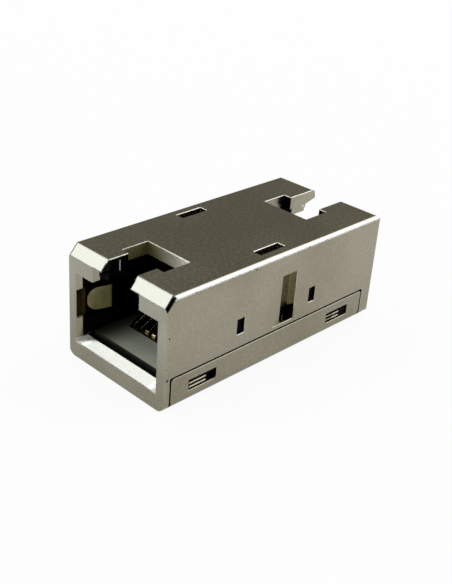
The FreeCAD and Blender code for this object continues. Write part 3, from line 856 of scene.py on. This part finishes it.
# %% [markdown]
# ## Springs and contacts
# The springs are thin rolled steel, and the contacts are narrow strips of bronze with
# gold on them. Rolling leaves fine lines along a strip. They could be drawn one by one,
# but noise that is stretched along Y gives as many as are wanted. Only the tongues and
# the first bends of the contacts are in the light. The rest gets a painted shade, nearly
# black, as the walls around it do, and the edges of the contacts a thin painted highlight.

# %% Rolled metal
# Painted shade, nearly black, on the backs of the springs and of the contacts.
SPRING_BACKS = [((-1, 7.2), (-11.33, -1), (-1, 12)), ((-1, 7.2), (1, 10.37), (-1, 12))]
SPRING_TONGUES = [((-1, 7.2), (-14.1, -11.38), (-1, 12)), ((-1, 7.2), (10.42, 13.1), (-1, 12))]
CONTACT_BACKS = [((-1, 7.2), (-12, 12), (3.02, 12)), ((1.95, 7.2), (-12, 12), (-1, 12))]
LINE_SIZE = 0.08 * MM
LINE_DEPTH = 0.002 * MM
PATINA_SIZE = 1.4 * MM
PATINA_DARK = (0.72, 0.72, 0.72)
STRIP_SHADOW = (0.014, 0.012, 0.008, 1)
STRIP_ROUNDING = 0.05 * MM
STRIP_SAMPLES = 6
STRIP_AGREEMENT = (0.80, 0.99)
# A thin painted highlight along the edges of the contacts.
STRIP_EDGE_HIGHLIGHT = (0.75, 0.74, 0.68, 1)
STRIP_SMOOTHER = 0.05
STRIP_ROUGHER = 0.08


def rolled_metal(name, tint, roughness, stretch, painted_shade_boxes, tongue_tilt=0.0, edge_highlight=0.0):
    material, tree, shader = start_material(name)
    place = add_node(tree, "ShaderNodeTexCoord").outputs["Object"]
    where = add_node(tree, "ShaderNodeSeparateXYZ", {0: place})
    lines = noise(tree, stretched_place(tree, place, (1, stretch, 1)), LINE_SIZE, 3, 0.6)
    patina = spread(tree, noise(tree, place, PATINA_SIZE, 3, 0.55), *BLOTCHES)
    colour = mix_colour(tree, patina, scaled(tint, *PATINA_DARK), tint)
    colour = mix_colour(tree, zones(tree, where, painted_shade_boxes), colour, STRIP_SHADOW)
    rounded, agreement = soft_edges(tree, STRIP_ROUNDING, STRIP_SAMPLES)
    edge = spread(tree, agreement, *STRIP_AGREEMENT, edge_highlight, 0)
    colour = mix_colour(tree, edge, colour, STRIP_EDGE_HIGHLIGHT)

    rough = spread(tree, lines, *BLOTCHES, roughness - STRIP_SMOOTHER, roughness + STRIP_ROUGHER)
    lean = product(tree, zones(tree, where, SPRING_TONGUES), tongue_tilt)
    lean = product(tree, lean, maths(tree, "SIGN", where.outputs["Y"]))
    normal = leaning(tree, bumped(tree, lines, LINE_DEPTH, rounded), lean)
    join(tree, shader, colour, rough, normal)
    shader.inputs["Metallic"].default_value = 1.0
    return material


spring_metal = rolled_metal(
    "spring_steel", screen_colour(168, 160, 114), 0.34, 0.15, SPRING_BACKS, tongue_tilt=0.16
)
gold_metal = rolled_metal(
    "contact_gold", screen_colour(204, 180, 104), 0.18, 0.10, CONTACT_BACKS, edge_highlight=0.9
)
print("strip finishes:", spring_metal.name, gold_metal.name)

# %% [markdown]
# ## Plastic, plate and board
# The inserts are moulded in black plastic, whose colour clouds a little where it flowed.
# The floor plate is pale and satin, and in the photograph the port's left wall shades it.
# That shade is a slow gradient in its colour, turned about for the rear plate. The board
# in the middle has a green solder mask, and is hidden in nearly every view.

# %% Moulded plastic and solder mask
FLOW_SIZE = 2.2 * MM
FLOW_DISTORTION = 0.4
SKIN_GRAIN = 0.12 * MM
SKIN_DEPTH = 0.004 * MM
SKIN_SMOOTHER = 0.06
SKIN_ROUGHER = 0.08
PLATE_SHADE = (-5.3 * MM, -0.4 * MM)
PLATE_FRONT_EDGE = (13.3 * MM, 13.34 * MM)
PLATE_SHADOW = (0.020, 0.018, 0.010, 1)


def with_wall_shade(tree, where, colour):
    along = where.outputs["Y"]
    across = product(tree, product(tree, where.outputs["X"], maths(tree, "SIGN", along)), -1.0)
    shade = spread(tree, across, *PLATE_SHADE)
    # Past its front edge, on the plate's front face, the painted shadow is full.
    front = spread(tree, maths(tree, "ABSOLUTE", along), *PLATE_FRONT_EDGE, 1, 0)
    return mix_colour(tree, product(tree, shade, front), PLATE_SHADOW, colour)


def moulded_plastic(name, light, dark, roughness, shaded=False):
    material, tree, shader = start_material(name)
    place = add_node(tree, "ShaderNodeTexCoord").outputs["Object"]
    flow = noise(tree, place, FLOW_SIZE, 4, 0.6, FLOW_DISTORTION)
    grain = noise(tree, place, SKIN_GRAIN, 2, 0.5)
    flow = spread(tree, flow, *BLOTCHES)
    colour = mix_colour(tree, flow, screen_colour(*dark), screen_colour(*light))
    if shaded:
        where = add_node(tree, "ShaderNodeSeparateXYZ", {0: place})
        colour = with_wall_shade(tree, where, colour)
    rough = spread(tree, grain, *BLOTCHES, roughness - SKIN_SMOOTHER, roughness + SKIN_ROUGHER)
    join(tree, shader, colour, rough, bumped(tree, grain, SKIN_DEPTH))
    return material


insert_plastic = moulded_plastic("insert_plastic", (34, 33, 32), (24, 24, 24), 0.38)
plate_sheet = moulded_plastic(
    "floor_plate_sheet", (200, 206, 187), (184, 190, 172), 0.45, shaded=True
)
board_mask = moulded_plastic("board_solder_mask", (24, 58, 38), (16, 44, 28), 0.35)
print("inner finishes:", insert_plastic.name, plate_sheet.name, board_mask.name)

# %% [markdown]
# ## Dress the CAD nodes
# A product has a few finishes and many parts, so a part is not given its finish by name.
# The record says which material slot each node has, and the table here says which finish
# the slot gets. Each node keeps its shape.

# %% Give each node its finish
FINISH_OF_SLOT = {
    "plated_body": body_metal,
    "plated_cover": cover_metal,
    "board_laminate": board_mask,
    "insert_plastic": insert_plastic,
    "floor_sheet": plate_sheet,
    "gold_contact": gold_metal,
    "spring_sheet": spring_metal,
}
for subpart in frame["record"]["subparts"]:
    node = frame["nodes"][subpart["node"]]
    node.data.materials.clear()
    node.data.materials.append(FINISH_OF_SLOT[subpart["material_slot"]])

# %% [markdown]
# ## Making a new piece
# The two kinds of new piece below are built from boxes and bars, which bmesh makes with
# its create operators. Their places are written in millimetres and end up in the mesh,
# so the object itself stays at the origin, as the CAD nodes do.

# %% Helpers for new pieces
ALONG_X = 0.9
ROUND_PROFILE = 0.5


def add_box(shape, low, high):
    """Adds a box between two corners that are given in millimetres."""
    corners = bmesh.ops.create_cube(shape, size=1.0)["verts"]
    bmesh.ops.scale(shape, verts=corners, vec=[(b - a) * MM for a, b in zip(low, high)])
    bmesh.ops.translate(shape, verts=corners, vec=[(a + b) / 2 * MM for a, b in zip(low, high)])


def round_corners(shape, radius, segments):
    """Bevels the edges that run along X."""
    edges = []
    for edge in shape.edges:
        start, end = edge.verts
        if abs((start.co - end.co).normalized().x) > ALONG_X:
            edges.append(edge)
    bmesh.ops.bevel(
        shape,
        geom=edges,
        offset=radius * MM,
        affect="EDGES",
        segments=segments,
        profile=ROUND_PROFILE,
        material=-1,
    )


def add_piece(name, shape, finish):
    """Makes an object of a bmesh, which rides on the coupler."""
    bmesh.ops.recalc_face_normals(shape, faces=shape.faces)
    mesh = bpy.data.meshes.new(name)
    shape.to_mesh(mesh)
    shape.free()
    mesh.materials.append(finish)
    piece = bpy.data.objects.new(name, mesh)
    bpy.context.scene.collection.objects.link(piece)
    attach(piece, "root")
    print(name, "faces:", len(mesh.polygons))


# %% [markdown]
# ## Shade sheets behind the windows
# Seen through its windows the real coupler is black inside, and no light comes through
# from the other side. A thin black sheet, put where there is only shade, closes each
# window from within, behind the skin of the wall. It could be a painted patch, but a
# sheet also stops the light. Each sheet is a box whose four corners are beveled, so
# that it reads as a cut sheet.

# %% Shade sheet behind each side window and each cover window
SHADE_SHEET_CORNER = 0.12
SHADE_SHEET_CORNER_STEPS = 3
SHADE_SHEET_GLINT = 0.08
shade_sheet_plastic = moulded_plastic("black_shade_sheet", (7, 7, 7), (4, 4, 4), 0.7)
shade_sheet_shader = shade_sheet_plastic.node_tree.nodes["Principled BSDF"]
shade_sheet_shader.inputs["Specular IOR Level"].default_value = SHADE_SHEET_GLINT

# distance across, place along and height, each low and high
# Each sheet is a dark sheet put where there is only shade behind a window.
SHADE_SHEETS = {
    "front_window_shade_sheet": ((6.68, 6.72), (-6.50, -4.94), (4.82, 7.04)),
    "rear_window_shade_sheet": ((6.68, 6.72), (3.98, 5.54), (4.82, 7.04)),
    "front_cover_shade_sheet": ((6.508, 6.538), (-9.86, -8.40), (1.26, 2.66)),
    "rear_cover_shade_sheet": ((6.508, 6.538), (7.45, 8.90), (1.26, 2.66)),
}
for name, (across, along, height) in SHADE_SHEETS.items():
    for side, sign in (("left", -1), ("right", 1)):
        shade_sheet = bmesh.new()
        add_box(shade_sheet, *zip(sorted(sign * value for value in across), along, height))
        round_corners(shade_sheet, SHADE_SHEET_CORNER, SHADE_SHEET_CORNER_STEPS)
        add_piece(f"{name}_{side}", shade_sheet, shade_sheet_plastic)

# %% [markdown]
# ## Ribs in the rear cover windows
# A barb of the body clips into each window of the cover, and ends in two bright ribs. In
# the rear window they show in the forward part, while the solid's barb stands in the rear
# part, which gets a painted shade, nearly black. The ribs could be painted as two pale
# lines, but a round bar catches the light along its whole length. So each is a cylinder
# laid along Y, and a stem joins it to a foot that both share.

# %% Rear ribs
RIB_RUN = (7.86, 8.96)
RIB_HEIGHTS = (1.53, 1.97)
RIB_RADIUS = 0.11
RIB_SIDES = 24
RIB_AXIS = 6.81
FOOT_ACROSS = (6.56, 6.68)
FOOT_HEIGHTS = (1.41, 2.48)
STEM_START = 6.66
STEM_INSET = 0.01
rib_middle = sum(RIB_RUN) / 2
rib_length = RIB_RUN[1] - RIB_RUN[0]
quarter_turn = Matrix.Rotation(math.radians(90), 3, "X")


def add_rib(shape, sign, height):
    """Adds one bar and the stem that carries it."""
    bar = bmesh.ops.create_cone(
        shape,
        cap_ends=True,
        segments=RIB_SIDES,
        radius1=RIB_RADIUS * MM,
        radius2=RIB_RADIUS * MM,
        depth=rib_length * MM,
    )["verts"]
    bmesh.ops.rotate(shape, verts=bar, cent=(0, 0, 0), matrix=quarter_turn)
    bmesh.ops.translate(shape, verts=bar, vec=Vector((sign * RIB_AXIS, rib_middle, height)) * MM)
    across = sorted((sign * STEM_START, sign * RIB_AXIS))
    along = (RIB_RUN[0] + STEM_INSET, RIB_RUN[1] - STEM_INSET)
    half_height = RIB_RADIUS - STEM_INSET
    add_box(shape, *zip(across, along, (height - half_height, height + half_height)))


for side, sign in (("left", -1), ("right", 1)):
    ribs = bmesh.new()
    add_box(ribs, *zip(sorted(sign * value for value in FOOT_ACROSS), RIB_RUN, FOOT_HEIGHTS))
    for rib_height in RIB_HEIGHTS:
        add_rib(ribs, sign, rib_height)
    add_piece(f"rear_window_ribs_{side}", ribs, body_metal)
